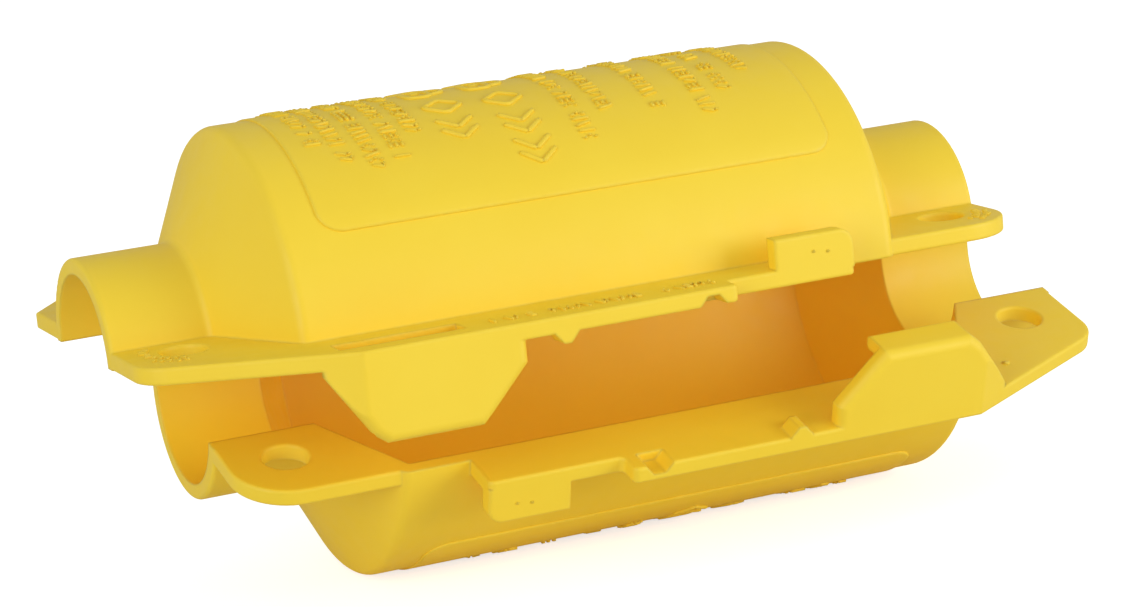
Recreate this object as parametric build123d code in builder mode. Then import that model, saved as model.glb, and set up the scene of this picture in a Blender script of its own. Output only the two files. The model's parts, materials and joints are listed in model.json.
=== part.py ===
"""Clamshell lockout cover for an electrical plug and its cable.

Two identical moulded halves close round the plug.  They turn on one rod at the back and slide
along it.  They shut while they are offset lengthwise, and then slide home: the catch under each
front flap passes behind the other half's striker plate, and the padlock holes line up.

Frame: X along the barrel, -Y the front that opens, +Y the hinge side, +Z up.  The origin is on the
upper half's barrel axis, half way along, in its parting plane.  Millimetres and degrees.
The pieces stand open and offset, as the cover lies before it is closed.
"""
import os
from math import atan2, tan

from build123d import *

os.makedirs("parts", exist_ok=True)

# Barrel, shoulders and necks of one half
barrel_radius = 41.3  # outside
barrel_length = 128.8
shoulder_length = 11.7
neck_length = 20.4
neck_radius = 19.5  # outside
wall = 3.2
shoulder_softness = 2.4  # rounding where barrel meets shoulder, outside
neck_softness = 1.6  # rounding where shoulder meets neck, outside
rim_softness = 0.8  # rounding of each neck's outer rim

# Flange round the parting plane
flange_thickness = 3.5
back_width = 1.5  # from the barrel to the back edge
recess_depth = 0.9  # how far the recessed front edge lies inside the barrel's side
end_softness = 12.0  # rounding of the right end's front corner
slant_softness = 8.0  # rounding where the slanted edge meets the left end
back_corner = (6.6, 9.0)  # cut off each back corner, along X and Y
step_softness = 1.3
edge_softness = 0.55

# Padlock holes, one in each end tab
hole_radius = 4.75
hole_from_end = 12.3
hole_from_neck = 7.5  # from the neck's side to the hole's middle
tab_margin = 11.3  # from the hole's middle to the left end's front corner

# Striker plate, which the other half's catch hooks under
striker_length = 17.8
striker_height = 9.8
striker_thickness = 3.5
striker_softness = 3.2

# Front flap, which hangs in front of the other half, and the catch behind its lower edge
flap_thickness = 3.5
flap_gap = 1.9  # between the flap and the other half's striker
flap_softness = 2.0
flap_low_knee = (2.7, 2.3)  # the flap's lower left knee from the catch's corner, left and up
flap_high_left = 11.7  # the flap's upper left corner, left of the catch
flap_right_knee = (2.4, 2.4)  # the flap's lower right knee from the catch's corner, right and up
flap_high_right = (10.2, 4.6)  # the end of its right slant, right of the catch and down
catch_inner = 34.4  # from the middle to the catch's near end
catch_length = 19.9
catch_thickness = 2.9
catch_grip = 0.1  # how far the catch reaches past the striker's thickness
catch_softness = 1.1
catch_room = 6.1  # between the barrel and the catch
catch_clearance = 2.6  # between catch and striker, so that the halves can slide while ajar
window_overhang = (6.7, 0.6)  # window past the catch's ends, left and right
window_gap = 0.9  # between the window's long edges and the catch below it
slant_start = 3.7  # the slanted front edge starts this far left of the catch

# Sliding shut
engagement = 16.1  # length of striker that lies over the catch, home
slide_clearance = 3.3  # between catch and striker as the halves shut
front_end_gap = 2.7  # between a flap's end and the other half's front edge, home

# Tooth and notch that hold the halves home
tooth_middle = 15.9
tooth_base = 5.1
tooth_tip = 1.5
tooth_height = 2.1
tooth_reach = 5.0  # back from the front edge
notch_clearance = 0.5

# Hinge
pin_radius = 2.0
pin_clearance = 0.08
knuckle_wall = 2.2
knuckle_clearance = 0.5  # between a knuckle and the other half's flange
knuckle_width = 9.0
knuckle_gap = 0.4
hinge_margin = 20.0  # least length without knuckles at each end
pin_head_radius = 3.4
pin_head_thickness = 1.6
pin_head_gap = 0.3
pin_head_softness = 0.5
open_angle = 17.3  # how far the halves stand open at rest

overlap = 1.0  # how far a feature runs into what it grows from, or a cut runs past a face

# Worked out from the values above: places along X
barrel_end = barrel_length / 2
neck_start = barrel_end + shoulder_length
half_length = neck_start + neck_length
catch_outer = catch_inner + catch_length
front_left = -catch_outer - slant_start
front_right = catch_inner - flap_high_right[0] - front_end_gap
striker_right = catch_inner + engagement
striker_left = striker_right - striker_length
slide_travel = engagement + slide_clearance
hole_across = half_length - hole_from_end

# Reaches from the barrel axis, forward and back
catch_reach = flap_gap + striker_thickness + catch_grip
flap_back = barrel_radius + catch_room + catch_reach
front_reach = flap_back + flap_thickness
striker_reach = flap_back - flap_gap
recess_reach = barrel_radius - recess_depth
hole_forward = neck_radius + hole_from_neck
slant_end_reach = hole_forward + tab_margin
back_reach = barrel_radius + back_width
knuckle_radius = pin_radius + knuckle_wall
hinge_back = back_reach + knuckle_clearance + knuckle_radius
flap_depth = striker_height + catch_clearance + catch_thickness

# The knuckles' pitch leaves each one the full travel before the next
knuckle_pitch = 2 * knuckle_width + slide_travel + 3 * knuckle_gap
hinge_length = 2 * (half_length - hinge_margin) - 2 * knuckle_width - knuckle_gap
knuckle_count = 1 + int(hinge_length // knuckle_pitch)
first_knuckle = -((knuckle_count - 1) * knuckle_pitch + knuckle_width + knuckle_gap) / 2
knuckle_places = [first_knuckle + i * knuckle_pitch for i in range(knuckle_count)]


def barrel_profile(barrel_at, neck_at, inset, end):
    """Points of the revolved outline: end, neck, shoulder, barrel and back, inset by a wall."""
    left_side = [
        (-end, 0),
        (-end, neck_radius - inset),
        (-neck_at, neck_radius - inset),
        (-barrel_at, barrel_radius - inset),
    ]
    return left_side + [(-x, y) for x, y in reversed(left_side)]


def near_x(shape, x):
    """The shape's vertices that stand at x or -x."""
    return [v for v in shape.vertices() if abs(abs(v.X) - x) < 0.01]


with BuildPart() as body:
    with BuildSketch(Plane.XY) as outside:
        with BuildLine():
            Polyline(*barrel_profile(barrel_end, neck_start, 0, half_length), close=True)
        make_face()
        fillet(near_x(outside, barrel_end), shoulder_softness)
        fillet(near_x(outside, neck_start), neck_softness)
        fillet([v for v in near_x(outside, half_length) if v.Y > 0], rim_softness)
    revolve(axis=Axis.X, revolution_arc=180)

with BuildPart() as flange:
    with BuildSketch(Plane.XY) as outline:
        with BuildLine():
            Polyline(
                (-half_length, back_reach - back_corner[1]),
                (-half_length, -slant_end_reach),
                (front_left, -front_reach),
                (front_right, -front_reach),
                (front_right, -striker_reach),
                (striker_right, -striker_reach),
                (striker_right, -recess_reach),
                (half_length, -recess_reach),
                (half_length, back_reach - back_corner[1]),
                (half_length - back_corner[0], back_reach),
                (-half_length + back_corner[0], back_reach),
                close=True,
            )
        make_face()
        fillet(outline.vertices().sort_by_distance((half_length, -recess_reach))[0], end_softness)
        fillet(outline.vertices().sort_by_distance((-half_length, -slant_end_reach))[0], slant_softness)
        fillet(near_x(outline, front_right), step_softness)
        fillet(outline.vertices().sort_by_distance((striker_right, -striker_reach))[0], step_softness)
        with Locations((-hole_across, -hole_forward), (hole_across, -hole_forward)):
            Circle(hole_radius, mode=Mode.SUBTRACT)
    extrude(amount=flange_thickness)
    fillet(flange.faces().filter_by(Axis.Z).edges(), edge_softness)

with BuildPart() as flap:
    with BuildSketch(Plane.XZ.offset(flap_back)):
        with BuildLine():
            Polyline(
                (-catch_outer - flap_high_left, flange_thickness / 2),
                (-catch_outer - flap_high_left, 0),
                (-catch_outer - flap_low_knee[0], -flap_depth + flap_low_knee[1]),
                (-catch_outer, -flap_depth),
                (-catch_inner, -flap_depth),
                (-catch_inner + flap_right_knee[0], -flap_depth + flap_right_knee[1]),
                (-catch_inner + flap_high_right[0], -flap_high_right[1]),
                (-catch_inner + flap_high_right[0], flange_thickness / 2),
                close=True,
            )
        make_face()
    extrude(amount=flap_thickness)
    # its left end is cut along the flange's slanted edge
    with BuildSketch(Plane.XY.offset(-flap_depth)):
        with BuildLine():
            Polyline(
                (front_left, -front_reach),
                (-half_length, -slant_end_reach),
                (-half_length, -front_reach),
                close=True,
            )
        make_face()
    extrude(amount=flap_depth + flange_thickness, mode=Mode.SUBTRACT)
    below_flange = [e for e in flap.edges() if e.center().Z < -0.01]
    fillet([e for e in below_flange if e.center().Y < -front_reach + flap_thickness / 2], flap_softness)

with BuildPart() as catch:
    with BuildSketch(Plane.XY.offset(-flap_depth)):
        with Locations((-(catch_outer + catch_inner) / 2, -flap_back + (catch_reach - overlap) / 2)):
            Rectangle(catch_length, catch_reach + overlap)
    extrude(amount=catch_thickness)
    fillet(catch.faces().sort_by(Axis.Y)[-1].edges().filter_by(Axis.X), catch_softness)

with BuildPart() as striker:
    with BuildSketch(Plane.XZ.offset(striker_reach - striker_thickness)) as plate:
        with Locations(((striker_left + striker_right) / 2, (striker_height + flange_thickness / 2) / 2)):
            Rectangle(striker_right - striker_left, striker_height - flange_thickness / 2)
        fillet(plate.vertices().group_by(Axis.Z)[-1].sort_by(Axis.X)[-1], striker_softness)
    extrude(amount=striker_thickness)
    above_flange = [e for e in striker.edges() if e.center().Z > flange_thickness / 2 + 0.01]
    fillet([e for e in above_flange if e.center().Y < -striker_reach + 0.01], edge_softness)

with BuildPart() as half:
    add([body.part, flange.part, flap.part, catch.part, striker.part])

    # Window in the flange over the catch
    with BuildSketch(Plane.XY):
        window_left = -catch_outer - window_overhang[0]
        window_right = -catch_inner - window_overhang[1]
        with Locations(((window_left + window_right) / 2, -flap_back + window_gap + catch_reach / 2)):
            Rectangle(window_right - window_left, catch_reach)
    extrude(amount=flange_thickness, mode=Mode.SUBTRACT)

    # Tooth under the front edge, and the notch that the other half's tooth drops into
    with BuildSketch(Plane.XZ.offset(front_reach - tooth_reach)):
        with BuildLine():
            Polyline(
                (-tooth_middle - tooth_base / 2, overlap),
                (-tooth_middle - tooth_base / 2, 0),
                (-tooth_middle - tooth_tip / 2, -tooth_height),
                (-tooth_middle + tooth_tip / 2, -tooth_height),
                (-tooth_middle + tooth_base / 2, 0),
                (-tooth_middle + tooth_base / 2, overlap),
                close=True,
            )
        make_face()
    extrude(amount=tooth_reach)
    with BuildSketch(Plane.XZ.offset(front_reach - tooth_reach - notch_clearance)):
        with BuildLine():
            Polyline(
                (tooth_middle - tooth_base / 2 - notch_clearance, 0),
                (tooth_middle - tooth_tip / 2 - notch_clearance, tooth_height),
                (tooth_middle + tooth_tip / 2 + notch_clearance, tooth_height),
                (tooth_middle + tooth_base / 2 + notch_clearance, 0),
                close=True,
            )
        make_face()
    extrude(amount=tooth_reach + notch_clearance + overlap, mode=Mode.SUBTRACT)

    # Hollow: the wall is even on the slanted shoulders too, so the inner corners sit back a little
    shoulder_slope = atan2(barrel_radius - neck_radius, neck_start - barrel_end)
    setback = wall * tan(shoulder_slope / 2)
    with BuildSketch(Plane.XY):
        with BuildLine():
            Polyline(
                *barrel_profile(barrel_end - setback, neck_start - setback, wall, half_length + overlap),
                close=True,
            )
        make_face()
    revolve(axis=Axis.X, mode=Mode.SUBTRACT)

# Hinge knuckles moulded on the back edge, each with an arm as thick as the flange.  They are kept
# apart from the rest of the half, because the other half's knuckles work between them
arm = hinge_back - back_reach + overlap
with BuildPart() as knuckles:
    for place in knuckle_places:
        with BuildSketch(Plane.YZ.offset(place - knuckle_width / 2)):
            with Locations((hinge_back, 0)):
                Circle(knuckle_radius)
            with Locations((hinge_back - arm / 2, flange_thickness / 2)):
                Rectangle(arm, flange_thickness)
        extrude(amount=knuckle_width)
    with BuildSketch(Plane.YZ.offset(-half_length)):
        with Locations((hinge_back, 0)):
            Circle(pin_radius + pin_clearance)
    extrude(amount=2 * half_length, mode=Mode.SUBTRACT)
    add(half.part, mode=Mode.SUBTRACT)

with BuildPart() as upper_shell:
    add(half.part)
with BuildPart() as upper_knuckles:
    add(knuckles.part)

# The lower half is the same moulding turned end for end, slid along the rod and opened round it
hinge_at_rest = Location((slide_travel, hinge_back, 0), (open_angle, 0, 0))
turned_over = Location((0, -hinge_back, 0), (0, 180, 0))
with BuildPart() as lower_shell:
    with Locations(hinge_at_rest * turned_over):
        add(half.part)
with BuildPart() as lower_knuckles:
    with Locations(hinge_at_rest * turned_over):
        add(knuckles.part)

# Rod from the upper half's first knuckle to the lower half's last one, with a head at each end
rod_left = knuckle_places[0] - knuckle_width / 2 - pin_head_gap
rod_right = -knuckle_places[0] + knuckle_width / 2 + slide_travel + pin_head_gap
with BuildPart() as hinge_pin:
    with BuildSketch(Plane.YZ.offset(rod_left)):
        with Locations((hinge_back, 0)):
            Circle(pin_radius)
    extrude(amount=rod_right - rod_left)
    for head_at in (rod_left - pin_head_thickness, rod_right):
        with BuildSketch(Plane.YZ.offset(head_at)):
            with Locations((hinge_back, 0)):
                Circle(pin_head_radius)
        extrude(amount=pin_head_thickness)
    ends = hinge_pin.faces().sort_by(Axis.X)
    fillet(ends[0].edges() + ends[-1].edges(), pin_head_softness)

upper_shell.part.label = "upper_shell"
export_step(upper_shell.part, "parts/upper_shell.step")
upper_knuckles.part.label = "upper_knuckles"
export_step(upper_knuckles.part, "parts/upper_knuckles.step")
lower_shell.part.label = "lower_shell"
export_step(lower_shell.part, "parts/lower_shell.step")
lower_knuckles.part.label = "lower_knuckles"
export_step(lower_knuckles.part, "parts/lower_knuckles.step")
hinge_pin.part.label = "hinge_pin"
export_step(hinge_pin.part, "parts/hinge_pin.step")
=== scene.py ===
"""Plug lockout cover: two identical yellow shells on one hinge rod, open and offset.

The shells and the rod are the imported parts, with moulded plastic and drawn steel on them.  What is
added here is the moulding's fine relief: the raised panel on each barrel with its raised marks, and
the small marks on the tabs, the flange and the striker plates.
"""

import json
import math
import random

import bmesh
import bpy
from mathutils import Matrix, Vector


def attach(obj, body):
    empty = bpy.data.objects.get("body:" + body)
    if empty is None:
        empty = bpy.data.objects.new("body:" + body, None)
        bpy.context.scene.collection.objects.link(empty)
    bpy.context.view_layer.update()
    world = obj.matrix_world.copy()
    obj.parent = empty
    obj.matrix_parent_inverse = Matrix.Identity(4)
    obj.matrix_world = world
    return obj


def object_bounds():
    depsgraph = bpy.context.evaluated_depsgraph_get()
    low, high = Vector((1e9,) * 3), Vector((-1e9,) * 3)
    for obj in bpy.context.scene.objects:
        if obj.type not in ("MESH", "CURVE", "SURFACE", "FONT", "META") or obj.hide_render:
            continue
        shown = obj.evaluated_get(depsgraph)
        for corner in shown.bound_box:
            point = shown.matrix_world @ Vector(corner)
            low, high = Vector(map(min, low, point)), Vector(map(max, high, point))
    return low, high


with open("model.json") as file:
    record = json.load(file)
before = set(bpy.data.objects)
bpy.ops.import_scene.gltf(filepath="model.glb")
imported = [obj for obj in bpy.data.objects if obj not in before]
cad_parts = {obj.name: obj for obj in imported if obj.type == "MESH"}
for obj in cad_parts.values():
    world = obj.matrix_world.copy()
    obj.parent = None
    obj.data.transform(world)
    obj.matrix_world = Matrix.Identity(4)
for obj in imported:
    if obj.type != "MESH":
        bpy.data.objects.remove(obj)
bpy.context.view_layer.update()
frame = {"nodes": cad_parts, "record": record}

MM = 0.001

# Sizes of the moulding, in metres
BARREL_RADIUS = 41.3 * MM
FLANGE_THICKNESS = 3.5 * MM
STRIKER_FACE = 51.0 * MM
PANEL_HALF_LENGTH = 56.3 * MM
PANEL_EDGE_ANGLE = math.radians(33.3)
PANEL_CORNER = 5.0 * MM
PANEL_RISE = 0.35 * MM
HOLE_ACROSS = 84.2 * MM  # from the middle to each padlock hole
HOLE_FORWARD = 27.0 * MM

# Raised marks, in metres
MARK_RISE = 0.5 * MM
SIGN_WIDTH = 1.15 * MM
SIGN_SIZE = 8.4 * MM
PADLOCK_SIZE = 9.4 * MM
ROW_TALL = 2.9 * MM
FLANGE_ROW_TALL = 2.7 * MM
FLANGE_ROW_PLACE = -50.6 * MM


# ---------------------------------------------------------------- where each half lies
def half_place(mounts, port, hole, turn):
    """Matrix from one half's own frame to the row frame at rest."""
    along = Vector((turn, 0, 0))
    out = Vector(mounts[hole]["axis"]).normalized()
    side = out.cross(along)
    place = Matrix((along, side, out)).transposed().to_4x4()
    place.translation = Vector(mounts[port]["pos_m"])
    return place


mounts = {m["name"]: m for m in frame["record"]["mounts"]}
HALVES = {
    "upper": ("upper_half", half_place(mounts, "cable_port", "upper_padlock_hole_left", 1)),
    "lower": ("lower_half", half_place(mounts, "lower_cable_port", "lower_padlock_hole_left", -1)),
}


# ---------------------------------------------------------------- shader groups
def new_group(name, inputs, outputs):
    """Empty node group with float or vector sockets. Returns the group and its two end nodes."""
    group = bpy.data.node_groups.new(name, "ShaderNodeTree")
    for label, kind, default in inputs:
        socket = group.interface.new_socket(label, in_out="INPUT", socket_type=kind)
        if default is not None:
            socket.default_value = default
    for label, kind in outputs:
        group.interface.new_socket(label, in_out="OUTPUT", socket_type=kind)
    return group, group.nodes.new("NodeGroupInput"), group.nodes.new("NodeGroupOutput")


def maths(group, operation, a, b=None, clamp=False):
    """Math node; a and b are sockets or numbers. Returns its output."""
    node = group.nodes.new("ShaderNodeMath")
    node.operation = operation
    node.use_clamp = clamp
    for socket, value in zip(node.inputs, (a, b)):
        if isinstance(value, (int, float)):
            socket.default_value = value
        elif value is not None:
            group.links.new(value, socket)
    return node.outputs[0]


def noise(group, vector, scale, detail=2.0, roughness=0.5):
    """Noise over a vector; scale is a socket or a number. Returns its 0 to 1 output."""
    node = group.nodes.new("ShaderNodeTexNoise")
    group.links.new(vector, node.inputs["Vector"])
    if isinstance(scale, (int, float)):
        node.inputs["Scale"].default_value = scale
    else:
        group.links.new(scale, node.inputs["Scale"])
    node.inputs["Detail"].default_value = detail
    node.inputs["Roughness"].default_value = roughness
    return node.outputs["Fac"]


def spread(group, value, low, high, out_low=0.0, out_high=1.0):
    """Value from low to high, mapped to out_low to out_high and held there."""
    node = group.nodes.new("ShaderNodeMapRange")
    group.links.new(value, node.inputs["Value"])
    for label, number in (
        ("From Min", low),
        ("From Max", high),
        ("To Min", out_low),
        ("To Max", out_high),
    ):
        node.inputs[label].default_value = number
    return node.outputs["Result"]


def make_grain_group():
    """Fine texture of a surface as it left its tool: Height for a bump, Tone for roughness."""
    group, ins, outs = new_group(
        "surface_grain",
        [("Vector", "NodeSocketVector", None), ("Grain Scale", "NodeSocketFloat", 2500.0)],
        [("Height", "NodeSocketFloat"), ("Tone", "NodeSocketFloat")],
    )
    fine = noise(group, ins.outputs["Vector"], ins.outputs["Grain Scale"], 2.0, 0.6)
    coarse_scale = maths(group, "MULTIPLY", ins.outputs["Grain Scale"], 0.11)
    coarse = noise(group, ins.outputs["Vector"], coarse_scale, 3.0, 0.55)
    both = maths(group, "MULTIPLY_ADD", coarse, 0.6)
    node = both.node
    group.links.new(fine, node.inputs[2])
    group.links.new(both, outs.inputs["Height"])
    group.links.new(spread(group, coarse, 0.3, 0.7), outs.inputs["Tone"])
    return group


def make_edge_group():
    """Mask of the convex edges, broken up by noise, for a painted highlight along them; and the
    rounded normal that softens them.
    """
    group, ins, outs = new_group(
        "soft_edges_and_painted_highlight",
        [
            ("Vector", "NodeSocketVector", None),
            ("Width", "NodeSocketFloat", 0.0008),
            ("Breakup Scale", "NodeSocketFloat", 400.0),
        ],
        [("Mask", "NodeSocketFloat"), ("Soft Normal", "NodeSocketVector")],
    )
    bevel = group.nodes.new("ShaderNodeBevel")
    bevel.samples = 6
    group.links.new(bevel.outputs["Normal"], outs.inputs["Soft Normal"])
    group.links.new(ins.outputs["Width"], bevel.inputs["Radius"])
    plain = group.nodes.new("ShaderNodeNewGeometry")
    dot = group.nodes.new("ShaderNodeVectorMath")
    dot.operation = "DOT_PRODUCT"
    group.links.new(bevel.outputs["Normal"], dot.inputs[0])
    group.links.new(plain.outputs["Normal"], dot.inputs[1])
    edge = spread(group, dot.outputs["Value"], 0.999, 0.93)
    broken = spread(
        group, noise(group, ins.outputs["Vector"], ins.outputs["Breakup Scale"], 3.0), 0.35, 0.6
    )
    group.links.new(maths(group, "MULTIPLY", edge, broken, clamp=True), outs.inputs["Mask"])
    return group


def make_cloud_group():
    """Slow uneven tone, as a moulding's colour or a metal's surface has."""
    group, ins, outs = new_group(
        "uneven_tone",
        [("Vector", "NodeSocketVector", None), ("Cloud Scale", "NodeSocketFloat", 25.0)],
        [("Tone", "NodeSocketFloat")],
    )
    cloud = noise(group, ins.outputs["Vector"], ins.outputs["Cloud Scale"], 4.0, 0.55)
    group.links.new(spread(group, cloud, 0.3, 0.7), outs.inputs["Tone"])
    return group


GRAIN = make_grain_group()
EDGES = make_edge_group()
CLOUD = make_cloud_group()


def place_group(tree, group, **values):
    """Group in a material, with numbers on its inputs."""
    node = tree.nodes.new("ShaderNodeGroup")
    node.node_tree = group
    for label, value in values.items():
        node.inputs[label.replace("_", " ")].default_value = value
    return node


def new_material(name):
    """Material, its nodes, its shader and the object coordinates."""
    material = bpy.data.materials.new(name)
    material.use_nodes = True
    tree = material.node_tree
    shader = tree.nodes["Principled BSDF"]
    coords = tree.nodes.new("ShaderNodeTexCoord")
    return material, tree, shader, coords.outputs["Object"]


def mix_colour(tree, mask, plain, other):
    """Colour that goes from plain to other with the mask."""
    node = tree.nodes.new("ShaderNodeMix")
    node.data_type = "RGBA"
    tree.links.new(mask, node.inputs["Factor"])
    for label, colour in (("A", plain), ("B", other)):
        socket = [s for s in node.inputs if s.name == label and s.type == "RGBA"][0]
        if isinstance(colour, tuple):
            socket.default_value = (*colour, 1)
        else:
            tree.links.new(colour, socket)
    return [s for s in node.outputs if s.type == "RGBA"][0]


def moulded_plastic():
    """Opaque yellow, satin from the mould, with a painted highlight that makes its edges a little
    paler.
    """
    material, tree, shader, where = new_material("moulded_yellow_plastic")
    grain = place_group(tree, GRAIN, Grain_Scale=2200.0)
    cloud = place_group(tree, CLOUD, Cloud_Scale=28.0)
    edges = place_group(tree, EDGES, Width=0.0009, Breakup_Scale=260.0)
    for node in (grain, cloud, edges):
        tree.links.new(where, node.inputs["Vector"])
    body = mix_colour(tree, cloud.outputs["Tone"], (0.972, 0.690, 0.030), (0.986, 0.720, 0.038))
    # painted highlight: the convex edges, broken up by noise, are made paler in the base colour
    painted_highlight = maths(tree, "MULTIPLY", edges.outputs["Mask"], 0.35)
    colour = mix_colour(tree, painted_highlight, body, (0.95, 0.76, 0.12))
    tree.links.new(colour, shader.inputs["Base Color"])
    rough = spread(tree, grain.outputs["Tone"], 0.0, 1.0, 0.44, 0.56)
    tree.links.new(rough, shader.inputs["Roughness"])
    bump = tree.nodes.new("ShaderNodeBump")
    bump.inputs["Strength"].default_value = 0.25
    bump.inputs["Distance"].default_value = 0.00006
    tree.links.new(grain.outputs["Height"], bump.inputs["Height"])
    tree.links.new(edges.outputs["Soft Normal"], bump.inputs["Normal"])
    tree.links.new(bump.outputs["Normal"], shader.inputs["Normal"])
    shader.inputs["IOR"].default_value = 1.49
    return material


def drawn_steel():
    """Bright drawn rod with a faint lengthwise grain."""
    material, tree, shader, where = new_material("drawn_steel")
    stretch = tree.nodes.new("ShaderNodeMapping")
    stretch.inputs["Scale"].default_value = (0.04, 1.0, 1.0)
    tree.links.new(where, stretch.inputs["Vector"])
    grain = place_group(tree, GRAIN, Grain_Scale=5200.0)
    tree.links.new(stretch.outputs["Vector"], grain.inputs["Vector"])
    cloud = place_group(tree, CLOUD, Cloud_Scale=90.0)
    edges = place_group(tree, EDGES, Width=0.0004, Breakup_Scale=700.0)
    for node in (cloud, edges):
        tree.links.new(where, node.inputs["Vector"])
    body = mix_colour(tree, cloud.outputs["Tone"], (0.50, 0.50, 0.51), (0.60, 0.60, 0.62))
    # painted highlight: the rod's convex edges are made brighter in the base colour
    colour = mix_colour(tree, edges.outputs["Mask"], body, (0.74, 0.74, 0.76))
    tree.links.new(colour, shader.inputs["Base Color"])
    shader.inputs["Metallic"].default_value = 1.0
    rough = spread(tree, grain.outputs["Tone"], 0.0, 1.0, 0.24, 0.38)
    tree.links.new(rough, shader.inputs["Roughness"])
    bump = tree.nodes.new("ShaderNodeBump")
    bump.inputs["Strength"].default_value = 0.2
    bump.inputs["Distance"].default_value = 0.00003
    tree.links.new(grain.outputs["Height"], bump.inputs["Height"])
    tree.links.new(bump.outputs["Normal"], shader.inputs["Normal"])
    return material


def pale_floor():
    """Matt white, with a glow so that it looks as white as the paper behind."""
    material, tree, shader, where = new_material("pale_paper_floor")
    cloud = place_group(tree, CLOUD, Cloud_Scale=3.0)
    tree.links.new(where, cloud.inputs["Vector"])
    colour = mix_colour(tree, cloud.outputs["Tone"], (0.78, 0.78, 0.78), (0.80, 0.80, 0.80))
    tree.links.new(colour, shader.inputs["Base Color"])
    shader.inputs["Roughness"].default_value = 0.9
    # lit from below like a light table, but only as it is seen
    seen = tree.nodes.new("ShaderNodeLightPath").outputs["Is Camera Ray"]
    shader.inputs["Emission Color"].default_value = (1, 1, 1, 1)
    tree.links.new(maths(tree, "MULTIPLY", seen, 0.70), shader.inputs["Emission Strength"])
    return material


PLASTIC = moulded_plastic()
STEEL = drawn_steel()

for node_name, material in (
    ("upper_shell", PLASTIC),
    ("upper_knuckles", PLASTIC),
    ("lower_shell", PLASTIC),
    ("lower_knuckles", PLASTIC),
    ("hinge_pin", STEEL),
):
    node = frame["nodes"].get(node_name)
    if node:
        node.data.materials.clear()
        node.data.materials.append(material)


# ---------------------------------------------------------------- raised relief on the barrel
def on_barrel(x, angle, rise):
    """Point above the barrel: x along it, angle up from the front edge, rise off its surface."""
    radius = BARREL_RADIUS + rise
    return Vector((x, -radius * math.cos(angle), radius * math.sin(angle)))


def add_piece(name, mesh_data, half, material=PLASTIC):
    """Object from a mesh in one half's own frame, riding on that half."""
    body, place = HALVES[half]
    mesh = bpy.data.meshes.new(name)
    mesh_data.transform(place)
    bmesh.ops.recalc_face_normals(mesh_data, faces=mesh_data.faces)
    mesh_data.to_mesh(mesh)
    mesh_data.free()
    mesh.shade_smooth()
    mesh.materials.append(material)
    piece = bpy.data.objects.new(name, mesh)
    bpy.context.scene.collection.objects.link(piece)
    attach(piece, body)
    return piece


def panel_side(inset):
    """(x, angle) down one side of the panel, from its front edge over the top to its back edge."""
    corner = (PANEL_CORNER - inset) / BARREL_RADIUS
    edge = PANEL_EDGE_ANGLE + inset / BARREL_RADIUS
    reach = PANEL_HALF_LENGTH - inset
    side = []
    corner_steps, straight_steps = 12, 48
    for step in range(corner_steps + 1):
        turn = math.radians(90 * step / corner_steps)
        x = reach - (PANEL_CORNER - inset) * (1 - math.sin(turn))
        side.append((x, edge + corner * (1 - math.cos(turn))))
    low, high = edge + corner, math.pi - edge - corner
    middle = [(reach, low + (high - low) * k / straight_steps) for k in range(1, straight_steps)]
    back = [(x, math.pi - angle) for x, angle in reversed(side)]
    return side + middle + back


def label_panel(half):
    """Raised field that covers the barrel's top, with a soft edge."""
    # (inset from the panel's outline, rise off the barrel) of each ring of its soft edge
    rings = [
        (0.0, -0.15 * MM),
        (0.05 * MM, 0.6 * PANEL_RISE),
        (0.22 * MM, PANEL_RISE),
        (0.6 * MM, PANEL_RISE),
    ]
    build = bmesh.new()

    def ring_points(sign, inset, rise):
        return [build.verts.new(on_barrel(sign * x, angle, rise)) for x, angle in panel_side(inset)]

    left, right = ([ring_points(sign, *ring) for ring in rings] for sign in (-1, 1))
    for side in (left, right):
        for outer, inner in zip(side, side[1:]):
            for k in range(len(outer) - 1):
                build.faces.new((outer[k], outer[k + 1], inner[k + 1], inner[k]))
    for near, far in zip(range(len(rings)), range(1, len(rings))):
        for end in (0, -1):
            build.faces.new((left[near][end], left[far][end], right[far][end], right[near][end]))
    for k in range(len(left[-1]) - 1):
        for ring in (0, -1):
            build.faces.new((left[ring][k], left[ring][k + 1], right[ring][k + 1], right[ring][k]))
    return add_piece(f"{half}_label_panel", build, half)


for half in HALVES:
    label_panel(half)


# Cross-section of a raised line: (across as a share of its width, up as a share of its height)
LINE_SECTION = ((-0.5, -0.3), (-0.44, 0.55), (-0.24, 1.0), (0.24, 1.0), (0.44, 0.55), (0.5, -0.3))
CAP_TURNS = tuple(math.radians(a) for a in (76, 50, 25))
CAP_LIFT = 0.35  # height left at a line's very end, as a share


def on_panel(u, v, rise):
    """u along the barrel, v round it from the top towards the front."""
    return on_barrel(u, math.pi / 2 - v / BARREL_RADIUS, PANEL_RISE + rise)


def on_flange(u, v, rise):
    return Vector((u, v, FLANGE_THICKNESS + rise))


def on_flange_row(v, u, rise):
    """For a row that runs along the flange, across which v is measured."""
    return on_flange(u, v, rise)


def on_parting_face(u, v, rise):
    return Vector((u, v, -rise))


def on_striker(u, v, rise):
    return Vector((u, -STRIKER_FACE - rise, v))


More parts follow.
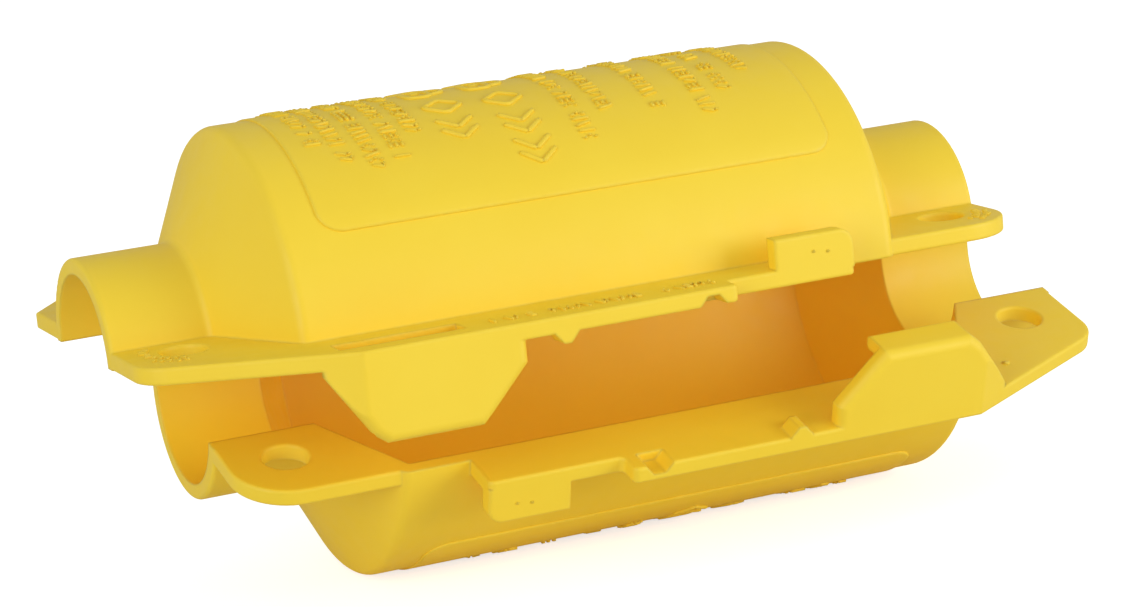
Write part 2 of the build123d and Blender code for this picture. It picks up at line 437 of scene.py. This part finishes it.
def raised_line(build, surface, path, width, height, closed=False):
    """Soft raised line with round ends along a path of (u, v) points on a surface."""
    points = [Vector(p) for p in path]
    stations = []
    for k, point in enumerate(points):
        before = points[k - 1] if closed or k else point
        after = points[(k + 1) % len(points)] if closed or k < len(points) - 1 else point
        run = (after - before).normalized()
        stations.append((point, run, 1.0))
    if not closed:
        for end, sign in ((0, -1), (-1, 1)):
            point, run, _ = stations[end]
            cap = [
                (point + run * (sign * width / 2 * math.sin(turn)), run, math.cos(turn))
                for turn in CAP_TURNS
            ]
            stations = cap + stations if end == 0 else stations + cap[::-1]
    rings = []
    for point, run, share in stations:
        across = Vector((-run.y, run.x))
        lift = height * (CAP_LIFT + (1 - CAP_LIFT) * share)
        ring = []
        for side, up in LINE_SECTION:
            flat = point + across * (side * width * share)
            ring.append(build.verts.new(surface(flat.x, flat.y, up * lift)))
        rings.append(ring)
    pairs = list(zip(rings, rings[1:])) + ([(rings[-1], rings[0])] if closed else [])
    for one, other in pairs:
        for k in range(len(one)):
            after = (k + 1) % len(one)
            build.faces.new((one[k], one[after], other[after], other[k]))
    if not closed:
        build.faces.new(rings[0])
        build.faces.new(rings[-1][::-1])


def soft_box(u, v, across, along, power=4.0, count=32):
    """Closed outline between a box and an oval."""
    path = []
    for k in range(count):
        turn = 2 * math.pi * k / count
        c, s = math.cos(turn), math.sin(turn)
        path.append(
            (
                u + across / 2 * math.copysign(abs(c) ** (2 / power), c),
                v + along / 2 * math.copysign(abs(s) ** (2 / power), s),
            )
        )
    return path


def straight(start, end, step=0.8 * MM):
    start, end = Vector(start), Vector(end)
    count = max(1, round((end - start).length / step))
    return [start.lerp(end, k / count) for k in range(count + 1)]


def diamond(u, v, across, along, count=8):
    """Closed outline of a square stood on its corner, with its corners worn round."""
    tips = ((across / 2, 0), (0, along / 2), (-across / 2, 0), (0, -along / 2))
    corners = [Vector(tip) for tip in tips]
    worn = 0.12
    path = []
    for k, corner in enumerate(corners):
        after = corners[(k + 1) % len(corners)]
        for step in range(count):
            share = worn + (1 - 2 * worn) * step / (count - 1)
            path.append((u + corner.lerp(after, share).x, v + corner.lerp(after, share).y))
    return path


def padlock_sign(build, surface, u, v, size, width, height):
    """Closed padlock: a soft box for its body, a bow for its shackle and a keyhole."""
    body_middle = u - 0.18 * size
    body_across = 0.56 * size
    body = soft_box(body_middle, v, body_across, 0.72 * size)
    raised_line(build, surface, body, width, height, True)
    steps = 12
    bow = []
    for k in range(steps + 1):
        turn = math.pi * k / steps
        bow.append(
            (
                body_middle + body_across / 2 + 0.34 * size * math.sin(turn),
                v + 0.22 * size * math.cos(turn),
            )
        )
    raised_line(build, surface, bow, width, height)
    keyhole = straight((body_middle - 0.06 * size, v), (body_middle + 0.06 * size, v))
    raised_line(build, surface, keyhole, width, height)


def arrow_sign(build, surface, u, v, size, width, height, towards):
    """Two nested chevrons that point round the barrel."""
    for k in range(2):
        tip = v + towards * size * (0.42 - 0.42 * k)
        for side in (-1, 1):
            far = (u + side * 0.42 * size, tip - towards * 0.3 * size)
            near = (u + side * 0.05 * size, tip)
            raised_line(build, surface, straight(far, near), width, height)


# Small raised shapes that fill a row: lines as (u, v) ends in shares of the row's height
ROW_SHAPES = (
    (((-0.5, 0.0), (0.5, 0.0)),),
    (((-0.46, -0.12), (0.1, 0.14)), ((0.38, 0.06), (0.44, 0.06))),
    (((-0.42, 0.1), (-0.36, 0.1)), ((-0.04, -0.1), (0.02, -0.1)), ((0.36, 0.08), (0.42, 0.08))),
    (((-0.5, 0.12), (0.46, -0.14)),),
    (((-0.44, -0.14), (-0.44, 0.16)), ((0.0, -0.16), (0.0, 0.12)), ((0.42, -0.12), (0.42, 0.15))),
    (((-0.3, -0.1), (0.3, 0.12)), ((0.42, -0.16), (0.42, -0.1))),
)


def mark_row(build, surface, middle, start, end, tall, chance, pitch=1.7 * MM):
    """Row of small dots, bars and slants in no order, with a gap now and then."""
    v = start
    while v < end:
        if chance.random() < 0.85:
            width, height = chance.uniform(0.55, 0.75) * MM, chance.uniform(0.38, 0.6) * MM
            for low, high in chance.choice(ROW_SHAPES):
                ends = [(middle + a * tall, v + b * tall) for a, b in (low, high)]
                raised_line(build, surface, straight(*ends), width, height)
        v += pitch * chance.uniform(0.85, 1.1)


# Rows of small marks round the panel: place along the barrel and angle of the row's front end
MARK_ROWS = (
    (-50.3, 63), (-45.6, 52), (-39.9, 50), (-34.2, 54), (-29.0, 61),
    (5.6, 49), (12.4, 61), (23.4, 58), (33.6, 53), (39.6, 60), (46.6, 68),
)


# Columns of signs round the panel: place along the barrel, then the places on each side of the top
# of a diamond and of the chevrons after it, in millimetres
SIGN_COLUMNS = ((-6.5, (11.2, 20.6, 29.0)), (-19.6, (10.6, 19.4)))


def panel_marks(half):
    """Rows of small marks and columns of signs on the panel."""
    chance = random.Random(11)
    build = bmesh.new()
    for place, front_angle in MARK_ROWS:
        reach = math.radians(90 - front_angle) * BARREL_RADIUS
        mark_row(build, on_panel, place * MM, -reach, reach, ROW_TALL, chance)
    for u, spots in SIGN_COLUMNS:
        u *= MM
        padlock_sign(build, on_panel, u, 0, PADLOCK_SIZE, SIGN_WIDTH, MARK_RISE)
        for side in (-1, 1):
            outline = diamond(u, side * spots[0] * MM, 8.6 * MM, 6.6 * MM)
            raised_line(build, on_panel, outline, SIGN_WIDTH, MARK_RISE, True)
            for spot in spots[1:]:
                v = side * spot * MM
                arrow_sign(build, on_panel, u, v, SIGN_SIZE, SIGN_WIDTH, MARK_RISE, side)
    return add_piece(f"{half}_panel_marks", build, half)


# Arcs of marks round each padlock hole: radius, first and last angle in degrees, and how many
HOLE_ARCS = {
    -1: ((6.9, -34, 74, 10), (9.2, 38, 78, 5)),
    1: ((6.9, 2, 66, 6), (9.2, 12, 60, 6)),
}
# Start and end along the flange of each row of marks, and the places of the two pips, in mm
FLANGE_ROWS = ((-29, -20), (-16, -8.6), (-6, 3.4), (6.4, 13), (14.8, 19.6))
STRIKER_PIPS = ((41.2, 6.2), (44.4, 5.8))


def edge_marks(half):
    """Small raised marks round the padlock holes, along the flange, and the striker's two pips."""
    chance = random.Random(5)
    build = bmesh.new()
    width, height = 0.66 * MM, 0.42 * MM
    for side, rings in HOLE_ARCS.items():
        hole = Vector((side * HOLE_ACROSS, -HOLE_FORWARD))
        for radius, first, last, count in rings:
            for k in range(count):
                turn = math.radians(first + (last - first) * k / (count - 1))
                out = Vector((side * math.cos(turn), -math.sin(turn)))
                near = radius + chance.uniform(0, 0.5)
                far = near + chance.uniform(0.3, 1.3)
                line = straight(hole + out * near * MM, hole + out * far * MM)
                raised_line(build, on_flange, line, width, height)
    for start, end in FLANGE_ROWS:
        spot = FLANGE_ROW_PLACE
        mark_row(build, on_flange_row, spot, start * MM, end * MM, FLANGE_ROW_TALL, chance)
    for u, v in STRIKER_PIPS:
        line = straight((u * MM, v * MM), ((u + 0.15) * MM, v * MM))
        raised_line(build, on_striker, line, 0.7 * MM, 0.2 * MM)
    dot = straight((-70.9 * MM, -44 * MM), (-70.6 * MM, -44 * MM))
    raised_line(build, on_parting_face, dot, 1.5 * MM, 0.3 * MM)
    return add_piece(f"{half}_edge_marks", build, half)


for half in HALVES:
    panel_marks(half)
    edge_marks(half)


# ---------------------------------------------------------------- floor, lights, camera
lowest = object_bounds()[0].z
FLOOR_REACH = 6.0


def studio_floor():
    """Pale floor that the cover rests on."""
    build = bmesh.new()
    corners = ((-1, -1), (1, -1), (1, 1), (-1, 1))
    places = [(x * FLOOR_REACH, y * FLOOR_REACH, lowest) for x, y in corners]
    build.faces.new([build.verts.new(place) for place in places])
    mesh = bpy.data.meshes.new("studio_floor")
    build.to_mesh(mesh)
    build.free()
    mesh.materials.append(pale_floor())
    floor = bpy.data.objects.new("studio_floor", mesh)
    bpy.context.scene.collection.objects.link(floor)


def soft_light(name, where, aim, size, power):
    """Rectangular softbox turned towards a point."""
    lamp = bpy.data.lights.new(name, "AREA")
    lamp.shape = "RECTANGLE"
    lamp.size, lamp.size_y = size
    lamp.energy = power
    holder = bpy.data.objects.new(name, lamp)
    bpy.context.scene.collection.objects.link(holder)
    holder.location = where
    holder.rotation_euler = (Vector(aim) - Vector(where)).to_track_quat("-Z", "Y").to_euler()
    return holder


studio_floor()
middle = (0.01, 0.0, -0.01)
soft_light("left_softbox", (-1.0, -0.7, 0.35), middle, (0.8, 0.8), 5.1)
soft_light("right_softbox", (0.9, -0.8, 0.15), middle, (0.8, 0.8), 8.2)

world = bpy.data.worlds.new("soft_studio")
bpy.context.scene.world = world
world.use_nodes = True
world.node_tree.nodes["Background"].inputs["Color"].default_value = (1, 1, 1, 1)
world.node_tree.nodes["Background"].inputs["Strength"].default_value = 0.49
bpy.context.scene.cycles.diffuse_bounces = 10
bpy.context.scene.cycles.max_bounces = 14

bearing, drop, tilt = (math.radians(a) for a in (22.95, 11.65, -5.22))
flat_look = Vector((math.sin(bearing), math.cos(bearing), 0))
look = flat_look * math.cos(drop) - Vector((0, 0, math.sin(drop)))
level = Vector((math.cos(bearing), -math.sin(bearing), 0))
rise = level.cross(look)
right = math.cos(tilt) * level + math.sin(tilt) * rise
up = -math.sin(tilt) * level + math.cos(tilt) * rise
lens = bpy.data.cameras.new("camera")
lens.sensor_width = 36
lens.lens = 115.2
lens.clip_start = 0.05
camera = bpy.data.objects.new("camera", lens)
bpy.context.scene.collection.objects.link(camera)
CAMERA_RIGHT, CAMERA_UP, CAMERA_BACK = 7.34 * MM, -5.35 * MM, 753.15 * MM
stand = CAMERA_RIGHT * right + CAMERA_UP * up - CAMERA_BACK * look
turned = Matrix((right, up, -look)).transposed().to_4x4()
camera.matrix_world = Matrix.Translation(stand) @ turned
bpy.context.scene.camera = camera
bpy.context.scene.view_settings.view_transform = "Standard"
